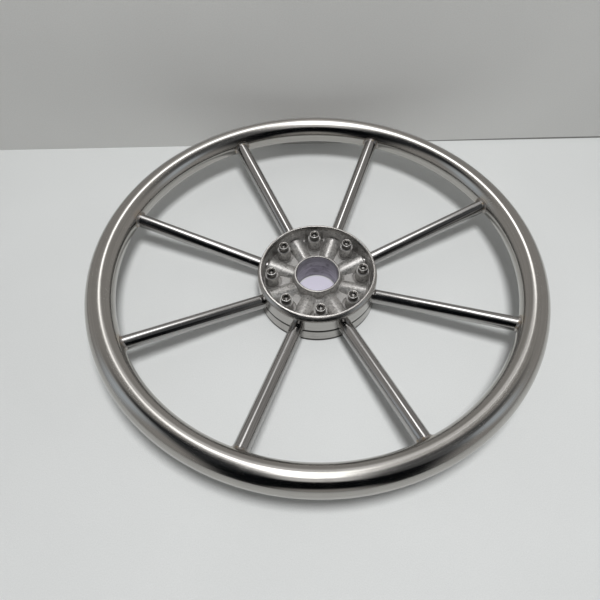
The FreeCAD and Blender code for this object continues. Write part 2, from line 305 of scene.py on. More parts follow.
def rounded_profile(corners, steps=4):
    """The profile of (radius, height, round) corners, with each round one as an arc."""
    profile = []
    for index, (radius, height, size) in enumerate(corners):
        spot = Vector((radius, height))
        if not size:
            profile.append((radius, height))
            continue
        before = (Vector(corners[index - 1][:2]) - spot).normalized() * size
        after = (Vector(corners[index + 1][:2]) - spot).normalized() * size
        for step in range(steps + 1):
            t = step / steps
            point = spot + before * (1 - t) ** 2 + after * t**2
            profile.append((point.x, point.y))
    return profile


def sharpen(mesh, degrees=35):
    """Marks edges sharper than this, so that flat faces stay flat beside smooth ones."""
    mesh.set_sharp_from_angle(angle=math.radians(degrees))


def spoke_matrix(sizes, number):
    """+X along a spoke from where it crosses the hub's split; +Z up across it."""
    angle = math.radians(360 / COUNT * (number - 0.5))
    run = sizes.rim_radius - sizes.spoke_cross
    tilt = math.atan2(sizes.rim_height - sizes.split_height, run)
    crossing = Matrix.Translation((sizes.spoke_cross, 0, sizes.split_height))
    return Matrix.Rotation(angle, 4, "Z") @ crossing @ Matrix.Rotation(-tilt, 4, "Y")


def along(sizes, radius):
    """Distance along a spoke, from its crossing, to a radius from the wheel's axis."""
    run = sizes.rim_radius - sizes.spoke_cross
    length = math.hypot(run, sizes.rim_height - sizes.split_height)
    return (radius - sizes.spoke_cross) * length / run


def rim_face(sizes, y, z):
    """Where a line along a spoke, y and z off its axis, meets the rim tube."""
    matrix = spoke_matrix(sizes, 1)
    low = along(sizes, sizes.rim_radius - 2 * sizes.tube_radius)
    high = along(sizes, sizes.rim_radius)
    for _ in range(32):
        middle = (low + high) / 2
        spot = matrix @ Vector((middle, y, z))
        off = math.hypot(spot.x, spot.y) - sizes.rim_radius
        inside = math.hypot(off, spot.z - sizes.rim_height) < sizes.tube_radius
        low, high = (low, middle) if inside else (middle, high)
    return low


def rim_mesh(sizes):
    """The rim: a tube rolled to a ring, a hair flatter on its inside where the rolls press."""
    turns, sections, deepest_press = 320, 72, 0.00006
    rings = []
    for turn in circle_angles(turns):
        ring = []
        for section in circle_angles(sections):
            press = deepest_press * (1 + math.cos(section - math.pi)) / 2
            radius = sizes.tube_radius - press
            out = sizes.rim_radius + radius * math.cos(section)
            ring.append((out * math.cos(turn), out * math.sin(turn), radius * math.sin(section)))
        rings.append(ring)
    return ring_mesh("rim_shell", rings, closed_rings=True)


def spoke_mesh(sizes):
    """A drawn rod along +X with turned ends, a hair uneven along its length."""
    sides, steps, bevel, uneven = 56, 48, 0.0006, 0.00001
    start = along(sizes, sizes.spoke_start)
    end = along(sizes, sizes.rim_radius - sizes.tube_radius + sizes.spoke_entry)
    radius = sizes.spoke_radius
    plain = end - start - 2 * bevel
    stations = [(start, radius - bevel)]
    stations += [(start + bevel + plain * step / steps, radius) for step in range(steps + 1)]
    stations.append((end, radius - bevel))
    rings = []
    for index, (x, nominal) in enumerate(stations):
        r = nominal + uneven * math.sin(0.9 * index)
        rings.append([(x, r * math.cos(a), r * math.sin(a)) for a in circle_angles(sides)])
    mesh = ring_mesh("spoke_rod", rings, caps=((start, 0, 0), (end, 0, 0)))
    sharpen(mesh)
    return mesh


def weld_mesh(sizes):
    """A hollow fillet of weld between spoke and tube, with its ripples dressed down."""
    sides, steps = 144, 12
    tuck, skin, sink, ripple_height = 0.0003, 0.00004, 0.0004, 0.00007
    leg, rod = sizes.weld_leg, sizes.spoke_radius
    rings = [[] for _ in range(steps + 3)]
    for angle in circle_angles(sides):
        y, z = math.cos(angle), math.sin(angle)
        wander = 1 + 0.10 * math.sin(3 * angle + 0.7) + 0.06 * math.sin(7 * angle)
        toe = rim_face(sizes, rod * y, rod * z) - leg * wander
        foot_radius = rod + leg * wander
        foot = rim_face(sizes, foot_radius * y, foot_radius * z)
        rings[0].append((toe, (rod - tuck) * y, (rod - tuck) * z))
        for step in range(steps + 1):
            t = step / steps * math.pi / 2
            ripple = ripple_height * math.sin(2 * t)
            ripple *= abs(math.sin(sizes.weld_ripples / 2 * angle))
            radius = rod + skin + leg * wander * (1 - math.cos(t)) + ripple
            x = toe + (foot - toe) * math.sin(t) - ripple
            rings[step + 1].append((x, radius * y, radius * z))
        rings[-1].append((foot + sink, foot_radius * y, foot_radius * z))
    return ring_mesh("weld_bead", rings)


def hexagon(flat, height, sides):
    """A ring in the shape of a hexagon, this far from its middle to its flats."""
    ring = []
    for angle in circle_angles(sides):
        from_flat = (angle + math.pi / 6) % (math.pi / 3) - math.pi / 6
        radius = flat / math.cos(from_flat)
        ring.append((radius * math.cos(angle), radius * math.sin(angle), height))
    return ring


def knurl(radius, height, sides):
    """A ring with a fine tooth for every four points, cut inwards."""
    ring = []
    for side, angle in enumerate(circle_angles(sides)):
        r = radius - TOOTH_DEPTH if side % 4 in (0, 1) else radius
        ring.append((r * math.cos(angle), r * math.sin(angle), height))
    return ring


def screw_mesh(sizes):
    """A socket cap screw, its head's underside at zero and its thread below."""
    sides, knurl_start = 96, 0.0006
    r = sizes.head_radius
    outside = rounded_profile(
        [
            (SHANK_RADIUS, 0.0, 0),
            (r - 0.0001, 0.0, 0.0002),
            (r, 0.0004, 0.0002),
            (r, HEAD_HEIGHT, 0.0005),
            (0.0043, HEAD_HEIGHT, 0),
            (0.0039, 0.0058, 0),
            (0.0032, 0.0058, 0),
        ]
    )
    head = turned_rings(outside, sides)
    knurled = [knurl(r, height, sides) for height in (0.0007, 0.0009, 0.0048, 0.005)]
    below = [ring for ring in head if ring[0][2] < knurl_start]
    socket = [
        hexagon(SOCKET_FLAT + 0.00012, 0.0055, sides),
        hexagon(SOCKET_FLAT, 0.0052, sides),
        hexagon(SOCKET_FLAT, 0.0026, sides),
        hexagon(SOCKET_FLAT - 0.0003, 0.0025, sides),
    ]
    rings = thread_rings(sizes, sides) + below + knurled + head[len(below) :] + socket
    mesh = ring_mesh("socket_screw", rings, caps=((0, 0, -SHANK_LENGTH), (0, 0, 0.0016)))
    sharpen(mesh, 32)
    return mesh


def thread_rings(sizes, sides):
    """Rings of the rolled thread, from the pointed end up to the head."""
    rows, groove_depth, point = 5, 0.00058, 0.0008
    pitch = sizes.thread_pitch
    rings = []
    for row in range(int(SHANK_LENGTH / pitch * rows)):
        height = -SHANK_LENGTH + row * pitch / rows
        run_in = min(1, (height + SHANK_LENGTH) / 0.0009)
        run_out = min(1, max(0, (-0.0015 - height) / 0.001))
        ring = []
        for angle in circle_angles(sides):
            phase = (height / pitch - angle / math.tau) % 1
            groove = groove_depth * (1 - abs(2 * phase - 1)) * run_out
            radius = SHANK_RADIUS - point * (1 - run_in) - groove
            ring.append((radius * math.cos(angle), radius * math.sin(angle), height))
        rings.append(ring)
    return rings


# --------------------------------------------------------------- materials


class Nodes:
    """A node tree with short calls for making nodes and joining them."""

    def __init__(self, tree):
        self.tree = tree
        self.column = 0

    def add(self, kind, inputs=(), **settings):
        node = self.tree.nodes.new(kind)
        self.column += 1
        node.location = (180 * (self.column % 12), -220 * (self.column // 12))
        for name, setting in settings.items():
            setattr(node, name, setting)
        for name, source in dict(inputs).items():
            if isinstance(source, bpy.types.NodeSocket):
                self.tree.links.new(source, node.inputs[name])
            else:
                node.inputs[name].default_value = source
        return node

    def math(self, operation, first, second=0.0, third=0.0, clamp=False):
        inputs = {0: first, 1: second, 2: third}
        return self.add("ShaderNodeMath", inputs, operation=operation, use_clamp=clamp).outputs[0]

    def spread(self, source, low, high, to_low=0.0, to_high=1.0, kind="SMOOTHSTEP"):
        """The source from low to high, mapped to new ends and held there."""
        inputs = {"Value": source, "From Min": low, "From Max": high}
        inputs.update({"To Min": to_low, "To Max": to_high})
        node = self.add("ShaderNodeMapRange", inputs, interpolation_type=kind)
        return node.outputs["Result"]

    def product(self, first, second):
        return self.math("MULTIPLY", first, second)

    def noise(self, place, scale, detail, roughness=0.5):
        inputs = {"Vector": place, "Scale": scale, "Detail": detail, "Roughness": roughness}
        return self.add("ShaderNodeTexNoise", inputs).outputs[0]

    def from_axis(self, place):
        """Distance from +Z through the middle, and height."""
        x, y, z = self.add("ShaderNodeSeparateXYZ", {"Vector": place}).outputs
        return self.math("SQRT", self.math("MULTIPLY_ADD", y, y, self.product(x, x))), z

    def mix(self, amount, first, second):
        node = self.add("ShaderNodeMix", data_type="RGBA")
        for index, source in ((0, amount), (6, first), (7, second)):
            if isinstance(source, bpy.types.NodeSocket):
                self.tree.links.new(source, node.inputs[index])
            else:
                node.inputs[index].default_value = source
        return node.outputs[2]

    def streaks(self, lines, colour, dark, bright, low=0.35, high=0.65):
        """The colour, darker and brighter along fine lines."""
        return self.mix(self.spread(lines, low, high), rgba(colour, dark), rgba(colour, bright))

    def dull(self, amount, share, first, second):
        """The first colour, going over to a share of the second by this amount."""
        return self.mix(self.product(amount, share), first, second)

    def group(self, tree, **inputs):
        node = self.add("ShaderNodeGroup", node_tree=tree)
        for name, source in inputs.items():
            socket = node.inputs[name.replace("_", " ")]
            if isinstance(source, bpy.types.NodeSocket):
                self.tree.links.new(source, socket)
            else:
                socket.default_value = source
        return node.outputs


def new_group(name, inputs, outputs):
    """A shader node group with these sockets: its nodes, its inputs and its output node."""
    tree = bpy.data.node_groups.new(name, "ShaderNodeTree")
    for socket, kind, default in inputs:
        made = tree.interface.new_socket(socket, in_out="INPUT", socket_type=kind)
        if default is not None:
            made.default_value = default
    for socket, kind in outputs:
        tree.interface.new_socket(socket, in_out="OUTPUT", socket_type=kind)
    nodes = Nodes(tree)
    entry = nodes.add("NodeGroupInput")
    leave = nodes.add("NodeGroupOutput")
    return nodes, entry.outputs, leave


def turning_lines_group():
    """Fine lines that run round +Z, as a lathe or a buffing wheel leaves."""
    nodes, given, leave = new_group(
        "Turning lines",
        [
            ("Vector", "NodeSocketVector", None),
            ("Lines per metre", "NodeSocketFloat", 1500.0),
            ("Breaks per metre", "NodeSocketFloat", 14.0),
        ],
        [("Lines", "NodeSocketFloat")],
    )
    radius, height = nodes.from_axis(given["Vector"])
    x, y, _ = nodes.add("ShaderNodeSeparateXYZ", {"Vector": given["Vector"]}).outputs
    fine, coarse = given["Lines per metre"], given["Breaks per metre"]
    place = nodes.add(
        "ShaderNodeCombineXYZ",
        {
            "X": nodes.product(radius, fine),
            "Y": nodes.product(height, fine),
            "Z": nodes.product(x, coarse),
        },
    ).outputs[0]
    turn = nodes.product(y, coarse)
    lines = nodes.add(
        "ShaderNodeTexNoise",
        {"Vector": place, "W": turn, "Scale": 1.0, "Detail": 3.0, "Roughness": 0.65},
        noise_dimensions="4D",
    )
    nodes.tree.links.new(lines.outputs[0], leave.inputs["Lines"])
    return nodes.tree


def drawn_lines_group():
    """Fine lines along +X, as a drawing die or a linishing belt leaves."""
    nodes, given, leave = new_group(
        "Drawn lines",
        [
            ("Vector", "NodeSocketVector", None),
            ("Lines per metre", "NodeSocketFloat", 1800.0),
            ("Breaks per metre", "NodeSocketFloat", 20.0),
            ("Seed", "NodeSocketFloat", 0.0),
        ],
        [("Lines", "NodeSocketFloat")],
    )
    x, y, z = nodes.add("ShaderNodeSeparateXYZ", {"Vector": given["Vector"]}).outputs
    fine, coarse = given["Lines per metre"], given["Breaks per metre"]
    place = nodes.add(
        "ShaderNodeCombineXYZ",
        {
            "X": nodes.product(x, coarse),
            "Y": nodes.product(y, fine),
            "Z": nodes.product(z, fine),
        },
    ).outputs[0]
    seed = nodes.product(given["Seed"], 37.0)
    lines = nodes.add(
        "ShaderNodeTexNoise",
        {"Vector": place, "W": seed, "Scale": 1.0, "Detail": 3.0, "Roughness": 0.6},
        noise_dimensions="4D",
    )
    nodes.tree.links.new(lines.outputs[0], leave.inputs["Lines"])
    return nodes.tree


def handling_group():
    """Wipe marks and short scratches from handling."""
    nodes, given, leave = new_group(
        "Handling marks",
        [("Vector", "NodeSocketVector", None), ("Size", "NodeSocketFloat", 60.0)],
        [("Smudges", "NodeSocketFloat"), ("Scratches", "NodeSocketFloat")],
    )
    cloud = nodes.add(
        "ShaderNodeTexNoise",
        {
            "Vector": given["Vector"],
            "Scale": given["Size"],
            "Detail": 5.0,
            "Roughness": 0.6,
            "Distortion": 0.6,
        },
    )
    smudges = nodes.spread(cloud.outputs[0], 0.48, 0.72)
    bend = nodes.add("ShaderNodeTexNoise", {"Vector": given["Vector"], "Scale": 90.0})
    moved = nodes.add(
        "ShaderNodeVectorMath",
        {0: bend.outputs["Color"], 1: (0.02, 0.02, 0.02), 2: given["Vector"]},
        operation="MULTIPLY_ADD",
    ).outputs[0]
    cells = nodes.add(
        "ShaderNodeTexVoronoi", {"Vector": moved, "Scale": 130.0}, feature="DISTANCE_TO_EDGE"
    )
    hair = nodes.spread(cells.outputs["Distance"], 0.0, 0.012, 1.0, 0.0)
    patches = nodes.add("ShaderNodeTexNoise", {"Vector": given["Vector"], "Scale": 45.0})
    scratches = nodes.product(hair, nodes.spread(patches.outputs[0], 0.55, 0.62))
    nodes.tree.links.new(smudges, leave.inputs["Smudges"])
    nodes.tree.links.new(scratches, leave.inputs["Scratches"])
    return nodes.tree


def corner_group():
    """A mask of hollow corners, from how sharply the mesh turns; the steels paint shade into them.
    """
    nodes, given, leave = new_group(
        "Hollow corners",
        [("Reach", "NodeSocketFloat", 0.06)],
        [("Hollow", "NodeSocketFloat")],
    )
    sharp = nodes.add("ShaderNodeNewGeometry").outputs["Pointiness"]
    low = nodes.math("SUBTRACT", 0.5, given["Reach"])
    nodes.tree.links.new(nodes.spread(sharp, 0.49, low), leave.inputs["Hollow"])
    return nodes.tree


GROUPS = {}


def shared(maker):
    """The one group that this maker makes."""
    if maker not in GROUPS:
        GROUPS[maker] = maker()
    return GROUPS[maker]


def steel(name, anisotropy=0.0, ior=2.4):
    """A new metal material: its nodes, its shader and the object's own coordinates."""
    material = bpy.data.materials.new(name)
    material.use_nodes = True
    nodes = Nodes(material.node_tree)
    shader = material.node_tree.nodes["Principled BSDF"]
    shader.inputs["Metallic"].default_value = 1.0
    shader.inputs["Anisotropic"].default_value = anisotropy
    shader.inputs["IOR"].default_value = ior
    place = nodes.add("ShaderNodeTexCoord").outputs["Object"]
    return material, nodes, shader, place


def rgba(colour, gain=1.0):
    return (*(min(1.0, part * gain) for part in colour), 1.0)


def finish_shader(nodes, shader, colour, roughness, height, depth, normal=None):
    """Joins colour, roughness and a bump of this depth in metres to the shader."""
    inputs = {"Height": height, "Distance": depth, "Strength": 1.0}
    if normal:
        inputs["Normal"] = normal
    bump = nodes.add("ShaderNodeBump", inputs).outputs[0]
    for socket, source in (("Base Color", colour), ("Roughness", roughness), ("Normal", bump)):
        nodes.tree.links.new(source, shader.inputs[socket])


def turned(nodes, place, fine, coarse):
    """The shared turning lines, at so many lines and breaks per metre."""
    tree = shared(turning_lines_group)
    return nodes.group(tree, Vector=place, Lines_per_metre=fine, Breaks_per_metre=coarse)["Lines"]


def rim_steel(finishes, sizes):
    """Rolled tube, buffed round the ring, with a trace of heat tint by each weld."""
    material, nodes, shader, place = steel("rim_steel", anisotropy=0.35)
    lines = turned(nodes, place, 900.0, 9.0)
    marks = nodes.group(shared(handling_group), Vector=place, Size=32.0)
    axis = nodes.add("ShaderNodeTangent", direction_type="RADIAL", axis="Z").outputs[0]
    nodes.tree.links.new(axis, shader.inputs["Tangent"])
    x, y, _ = nodes.add("ShaderNodeSeparateXYZ", {"Vector": place}).outputs
    turn = nodes.math("ARCTAN2", y, x)
    near = nodes.math("COSINE", nodes.math("MULTIPLY_ADD", turn, float(COUNT), math.pi))
    inside = sizes.rim_radius - sizes.tube_radius
    radius, _ = nodes.from_axis(place)
    inner = nodes.spread(radius, inside, inside + 0.4 * sizes.tube_radius, 1.0, 0.0)
    tint = nodes.product(nodes.spread(near, 0.955, 0.999), inner)
    plain = nodes.streaks(lines, finishes.rim, 0.93, 1.04)
    worn = nodes.dull(marks["Smudges"], 0.25, plain, rgba(finishes.rim, 0.8))
    colour = nodes.dull(tint, 0.45, worn, rgba(finishes.tint))
    base = nodes.spread(lines, 0.3, 0.7, 0.10, 0.18)
    soft = nodes.math("MULTIPLY_ADD", marks["Smudges"], 0.06, base)
    roughness = nodes.math("MULTIPLY_ADD", marks["Scratches"], 0.12, soft)
    finish_shader(nodes, shader, colour, roughness, lines, 0.000012)
    return material


def spoke_steel(finishes):
    """Bright drawn rod with faint lengthwise lines."""
    material, nodes, shader, place = steel("spoke_steel", anisotropy=0.25)
    seed = nodes.add("ShaderNodeObjectInfo").outputs["Random"]
    given = {"Lines_per_metre": 1300.0, "Breaks_per_metre": 16.0, "Seed": seed}
    lines = nodes.group(shared(drawn_lines_group), Vector=place, **given)["Lines"]
    marks = nodes.group(shared(handling_group), Vector=place, Size=55.0)
    axis = nodes.add("ShaderNodeTangent", direction_type="RADIAL", axis="X").outputs[0]
    nodes.tree.links.new(axis, shader.inputs["Tangent"])
    plain = nodes.streaks(lines, finishes.spokes, 0.74, 1.1)
    colour = nodes.dull(marks["Smudges"], 0.25, plain, rgba(finishes.spokes, 0.75))
    base = nodes.spread(lines, 0.3, 0.7, 0.07, 0.14)
    roughness = nodes.math("MULTIPLY_ADD", marks["Smudges"], 0.08, base)
    finish_shader(nodes, shader, colour, roughness, lines, 0.00002)
    return material


def weld_steel(finishes):
    """Dressed weld, blotted with straw tint, with painted shade in the hollows at its edges."""
    material, nodes, shader, place = steel("weld_steel")
    grain = nodes.noise(place, 900.0, 3.0)
    blot = nodes.noise(place, 260.0, 2.0)
    corners = nodes.group(shared(corner_group), Reach=0.08)
    stain = nodes.spread(blot, 0.42, 0.66, 0.0, 0.7)
    tinted = nodes.mix(stain, rgba(finishes.welds), rgba(finishes.tint, 0.6))
    # Painted shade in the weld's hollow corners.
    colour = nodes.dull(corners["Hollow"], 0.6, tinted, rgba(finishes.painted_shade))
    roughness = nodes.spread(grain, 0.3, 0.7, 0.26, 0.44)
    finish_shader(nodes, shader, colour, roughness, grain, 0.00003)
    return material


def soft_edges(nodes, reach):
    """The surface's direction, eased over sharp edges by this reach, and a mask of the edges."""
    eased = nodes.add("ShaderNodeBevel", {"Radius": reach}, samples=8).outputs[0]
    plain = nodes.add("ShaderNodeNewGeometry").outputs["Normal"]
    alike = nodes.add("ShaderNodeVectorMath", {0: eased, 1: plain}, operation="DOT_PRODUCT")
    return eased, nodes.spread(alike.outputs["Value"], 0.80, 0.985, 1.0, 0.0)


def bored_wall(nodes, place, lines, marks, colour, finishes):
    """A mask of the bore's wall, and the colour with the wall's painted shade and its streaks laid
    over it.
    """
    radius, _ = nodes.from_axis(place)
    bored = nodes.spread(radius, BORE_REACH, BORE_REACH + 0.0003, 1.0, 0.0)
    streaks = nodes.streaks(lines, finishes.bore, 0.6, 1.15, 0.4, 0.6)
    stained = nodes.mix(marks["Smudges"], streaks, rgba(finishes.bore, 0.45))
    return bored, nodes.mix(bored, colour, stained)


def base_steel(finishes):
    """Turned disc: lathe lines round its wall and faces, painted shade in its hollows, along its
    foot and at the split.
    """
    material, nodes, shader, place = steel("hub_base_steel", anisotropy=0.3)
    lines = turned(nodes, place, 1400.0, 25.0)
    marks = nodes.group(shared(handling_group), Vector=place, Size=70.0)
    corners = nodes.group(shared(corner_group), Reach=0.05)
    plain = nodes.streaks(lines, finishes.hub, 0.86, 1.05)
    dulled = nodes.dull(marks["Smudges"], 0.35, plain, rgba(finishes.hub, 0.7))
    # Painted shade in hollow corners.
    shaded = nodes.dull(corners["Hollow"], 0.5, dulled, rgba(finishes.painted_shade))
    _, height = nodes.from_axis(place)
    # Painted shade: a dark band at the split and a painted contact shadow along the foot.
    split = BASE_BOX[1].z - SPLIT_SEAM
    joint = nodes.spread(height, split, split + 0.0004)
    foot = nodes.spread(height, FOOT_SHADE, FOOT_SHADE + 0.0006, 1.0, 0.0)
    gap_shaded = nodes.dull(nodes.math("MAXIMUM", foot, joint), 0.95, shaded, rgba(finishes.painted_shade, 0.3))
    bored, colour = bored_wall(nodes, place, lines, marks, gap_shaded, finishes)
    base = nodes.spread(lines, 0.3, 0.7, 0.16, 0.28)
    soft = nodes.math("MULTIPLY_ADD", marks["Smudges"], 0.08, base)
    roughness = nodes.math("MULTIPLY_ADD", bored, 0.16, soft)
    eased = nodes.add("ShaderNodeBevel", {"Radius": 0.0005}, samples=8).outputs[0]
    finish_shader(nodes, shader, colour, roughness, lines, 0.000016, eased)
    return material


def crowned(nodes, direction, band, rise):
    """The surface's direction, turned up over a polished band as if the band were crowned."""
    lift = nodes.add("ShaderNodeCombineXYZ", {"Z": nodes.product(band, rise)}).outputs[0]
    raised = nodes.add("ShaderNodeVectorMath", {0: direction, 1: lift}, operation="ADD").outputs[0]
    return nodes.add("ShaderNodeVectorMath", {0: raised}, operation="NORMALIZE").outputs[0]


def level_faces(nodes):
    """A mask of faces that lie level."""
    facing = nodes.add("ShaderNodeTexCoord").outputs["Normal"]
    up = nodes.add("ShaderNodeSeparateXYZ", {"Vector": facing}).outputs["Z"]
    return nodes.spread(up, 0.992, 0.998)


def dish_steel(finishes):
    """Casting, turned and polished outside and on its rims, tumbled inside the dish."""
    material, nodes, shader, place = steel("hub_clamp_steel")
    radius, height = nodes.from_axis(place)
    lines = turned(nodes, place, 1500.0, 25.0)
    marks = nodes.group(shared(handling_group), Vector=place, Size=80.0)
    corners = nodes.group(shared(corner_group), Reach=0.05)
    peel = nodes.noise(place, 420.0, 4.0, 0.6)

    # masks: the boss's land, all machined faces, level cast faces, and the band under the lip
    boss_in = nodes.spread(radius, BOSS_REACH, BOSS_REACH + 0.0006, 1.0, 0.0)
    boss_land = nodes.product(boss_in, nodes.spread(height, BOSS_TOP, BOSS_TOP + 0.0005))
    machined = nodes.math("MAXIMUM", nodes.spread(radius, 0.0550, 0.0556), boss_land)
    flat = nodes.product(nodes.math("SUBTRACT", 1.0, machined), level_faces(nodes))
    side, band_foot = CLAMP_BOX[1].x - LIP_REACH, CLAMP_BOX[1].z - LIP_DEPTH
    outer = nodes.spread(radius, side, side + 0.0004)
    band = nodes.product(outer, nodes.spread(height, band_foot, band_foot + 0.0006))

    cast = nodes.streaks(peel, finishes.dish, 0.72, 1.2, 0.35, 0.68)
    lathe = nodes.streaks(lines, finishes.hub, 0.9, 1.06)
    lip = nodes.mix(boss_land, lathe, rgba(finishes.hub, 0.62))
    both = nodes.mix(machined, cast, lip)
    # Painted shade: level cast faces are painted darker than the sloping ones.
    floor = nodes.dull(flat, 0.55, both, rgba(finishes.dish, 0.35))
    # Painted shade in hollow corners.
    dark = nodes.dull(corners["Hollow"], 0.5, floor, rgba(finishes.painted_shade))
    eased, edges = soft_edges(nodes, 0.0007)
    # Painted highlight: sharp edges are painted brighter.
    edge_highlit = nodes.dull(edges, 0.75, dark, rgba(finishes.hub, 1.9))
    # Painted shade: a dark band at the bottom of the clamp half, along the split.
    split = CLAMP_BOX[0].z + SPLIT_SEAM_ABOVE
    low = nodes.spread(height, split, split + 0.0005, 1.0, 0.0)
    gap_shaded = nodes.dull(low, 0.95, edge_highlit, rgba(finishes.painted_shade, 0.3))
    bored, colour = bored_wall(nodes, place, lines, marks, gap_shaded, finishes)

    cast_rough = nodes.spread(peel, 0.3, 0.7, 0.26, 0.40)
    lathe_rough = nodes.spread(lines, 0.3, 0.7, 0.13, 0.22)
    inputs = {0: machined, 2: cast_rough, 3: lathe_rough}
    roughness = nodes.add("ShaderNodeMix", inputs, data_type="FLOAT").outputs[0]
    for mask, more in ((marks["Smudges"], 0.06), (flat, 0.12), (band, 0.10), (bored, 0.18)):
        roughness = nodes.math("MULTIPLY_ADD", mask, more, roughness)
    inputs = {0: machined, 2: peel, 3: lines}
    relief = nodes.add("ShaderNodeMix", inputs, data_type="FLOAT").outputs[0]
    metal = nodes.spread(machined, 0.0, 1.0, 0.70, 1.0)
    nodes.tree.links.new(metal, shader.inputs["Metallic"])
    rise = nodes.spread(height, band_foot, CLAMP_BOX[1].z - 0.001, 0.26, 1.4, "LINEAR")
    shaped = crowned(nodes, eased, band, rise)
    finish_shader(nodes, shader, colour, roughness, relief, 0.00004, shaped)
    return material


def screw_steel(finishes):
    """Rolled screws: turned lines on the head, painted shade in the socket, on the knurled side and
    on the top face inside its edge.
    """
    material, nodes, shader, place = steel("screw_steel")
    lines = turned(nodes, place, 3500.0, 120.0)
    radius, height = nodes.from_axis(place)
    hole_in = nodes.spread(radius, 0.0029, 0.0031, 1.0, 0.0)
    hole = nodes.product(hole_in, nodes.spread(height, 0.0058, 0.0046))
    top_in = nodes.spread(radius, 0.0042, 0.0044, 1.0, 0.0)
    top = nodes.product(top_in, nodes.spread(height, 0.0054, 0.0058))
    wall_below = nodes.spread(height, 0.0052, 0.0055, 1.0, 0.0)
    wall = nodes.product(nodes.spread(radius, 0.0045, 0.0047), wall_below)
    plain = nodes.streaks(lines, finishes.screws, 0.85, 1.1)
    # Painted shade on the head's top face inside its outer edge.
    top_shaded = nodes.dull(top, 0.92, plain, rgba(finishes.painted_shade, 0.9))
    # Painted shade on the knurled side of the head.
    side_shaded = nodes.dull(wall, 0.8, top_shaded, rgba(finishes.painted_shade, 0.7))
    # Painted shade in the socket.
    colour = nodes.dull(hole, 0.7, side_shaded, rgba(finishes.painted_shade, 0.6))
    roughness = nodes.spread(lines, 0.3, 0.7, 0.18, 0.30)
    finish_shader(nodes, shader, colour, roughness, lines, 0.00001)
    return material


def one_sided(nodes, shader, output):
    """Lets the camera see through the back of a stage surface."""
    back = nodes.add("ShaderNodeNewGeometry").outputs["Backfacing"]
    seen = nodes.add("ShaderNodeLightPath").outputs["Is Camera Ray"]
    clear = nodes.add("ShaderNodeBsdfTransparent").outputs[0]
    choose = nodes.add("ShaderNodeMixShader", {0: nodes.product(back, seen)})
    nodes.tree.links.new(shader.outputs[0], choose.inputs[1])
    nodes.tree.links.new(clear, choose.inputs[2])
    nodes.tree.links.new(choose.outputs[0], output.inputs["Surface"])


def stage_material(name, colour, grain_scale, depth, roughness, accent):
    """A pale surface: pebbled grain, faint clouds, a few specks and an accent of its own."""
    material = bpy.data.materials.new(name)
    material.use_nodes = True
    nodes = Nodes(material.node_tree)
    shader = material.node_tree.nodes["Principled BSDF"]
    output = material.node_tree.nodes["Material Output"]
    place = nodes.add("ShaderNodeTexCoord").outputs["Object"]
    grain = nodes.noise(place, grain_scale, 4.0, 0.6)
    cloud = nodes.noise(place, 5.0, 2.0)
    amount = nodes.math("MULTIPLY_ADD", cloud, 0.4, nodes.product(grain, 0.6))
    tone = nodes.streaks(amount, colour, 0.95, 1.03, 0.3, 0.7)
    cells = nodes.add("ShaderNodeTexVoronoi", {"Vector": place, "Scale": 38.0}, feature="F1")
    drawn = nodes.add("ShaderNodeSeparateColor", {0: cells.outputs["Color"]}).outputs[0]
    rare = nodes.math("GREATER_THAN", drawn, 0.9)
    speck = nodes.product(nodes.spread(cells.outputs["Distance"], 0.008, 0.02, 0.45, 0.0), rare)
    tone = nodes.mix(speck, tone, rgba(colour, 0.45))
    # The accent paints light onto the table and a shadow onto the wall.
    tone = accent(nodes, place, tone)
    rough = nodes.spread(grain, 0.3, 0.7, roughness - 0.05, roughness + 0.05)
    finish_shader(nodes, shader, tone, rough, grain, depth)
    shader.inputs["Specular IOR Level"].default_value = 0.25
    one_sided(nodes, shader, output)
    return material


def painted_bore_tint(nodes, place, tone):
    """A faint mauve light painted on the table inside the shaft bore."""
    reach = nodes.add("ShaderNodeVectorMath", {0: place}, operation="LENGTH").outputs["Value"]
    return nodes.mix(nodes.spread(reach, 0.0195, 0.021, 1.0, 0.0), tone, (0.80, 0.77, 0.90, 1.0))


def shadow_gap(nodes, place, tone):
    """A painted shadow in the shape of a gap that opens to the right, where the wall meets the
    table.
    """
    foot = bpy.context.scene.wheel_studio.wall_height / 2
    x, y, _ = nodes.add("ShaderNodeSeparateXYZ", {"Vector": place}).outputs
    gap = nodes.spread(x, -0.02, 0.35, 0.0, 0.0022)
    above = nodes.math("SUBTRACT", nodes.math("ADD", y, foot), gap)
    inside = nodes.spread(above, -0.0002, 0.0006, 1.0, 0.0)
    dark = nodes.product(inside, nodes.spread(x, 0.0, 0.06))
    return nodes.dull(dark, 0.8, tone, (0.12, 0.12, 0.11, 1.0))


# ------------------------------------------------------------------- stage


def plate(name, half_width, half_height, matrix, material):
    """A finely divided flat stage surface facing its own +Z."""
    steps = 8
    points, faces = [], []
    for row in range(steps + 1):
        for column in range(steps + 1):
            across, up = 2 * column / steps - 1, 2 * row / steps - 1
            points.append((across * half_width, up * half_height, 0))
    for row in range(steps):
        for column in range(steps):
            low = row * (steps + 1) + column
            faces.append((low, low + 1, low + steps + 2, low + steps + 1))
    mesh = bpy.data.meshes.new(name)
    mesh.from_pydata(points, [], faces)
    mesh.materials.append(material)
    surface = bpy.data.objects.new(name, mesh)
    surface.matrix_world = matrix
    bpy.context.scene.collection.objects.link(surface)
    return surface


def grey(level, warmth=0.0):
    """A grey of this radiance, warmer or cooler."""
    return (level * (1 + warmth), level, level * (1 - warmth), 1)


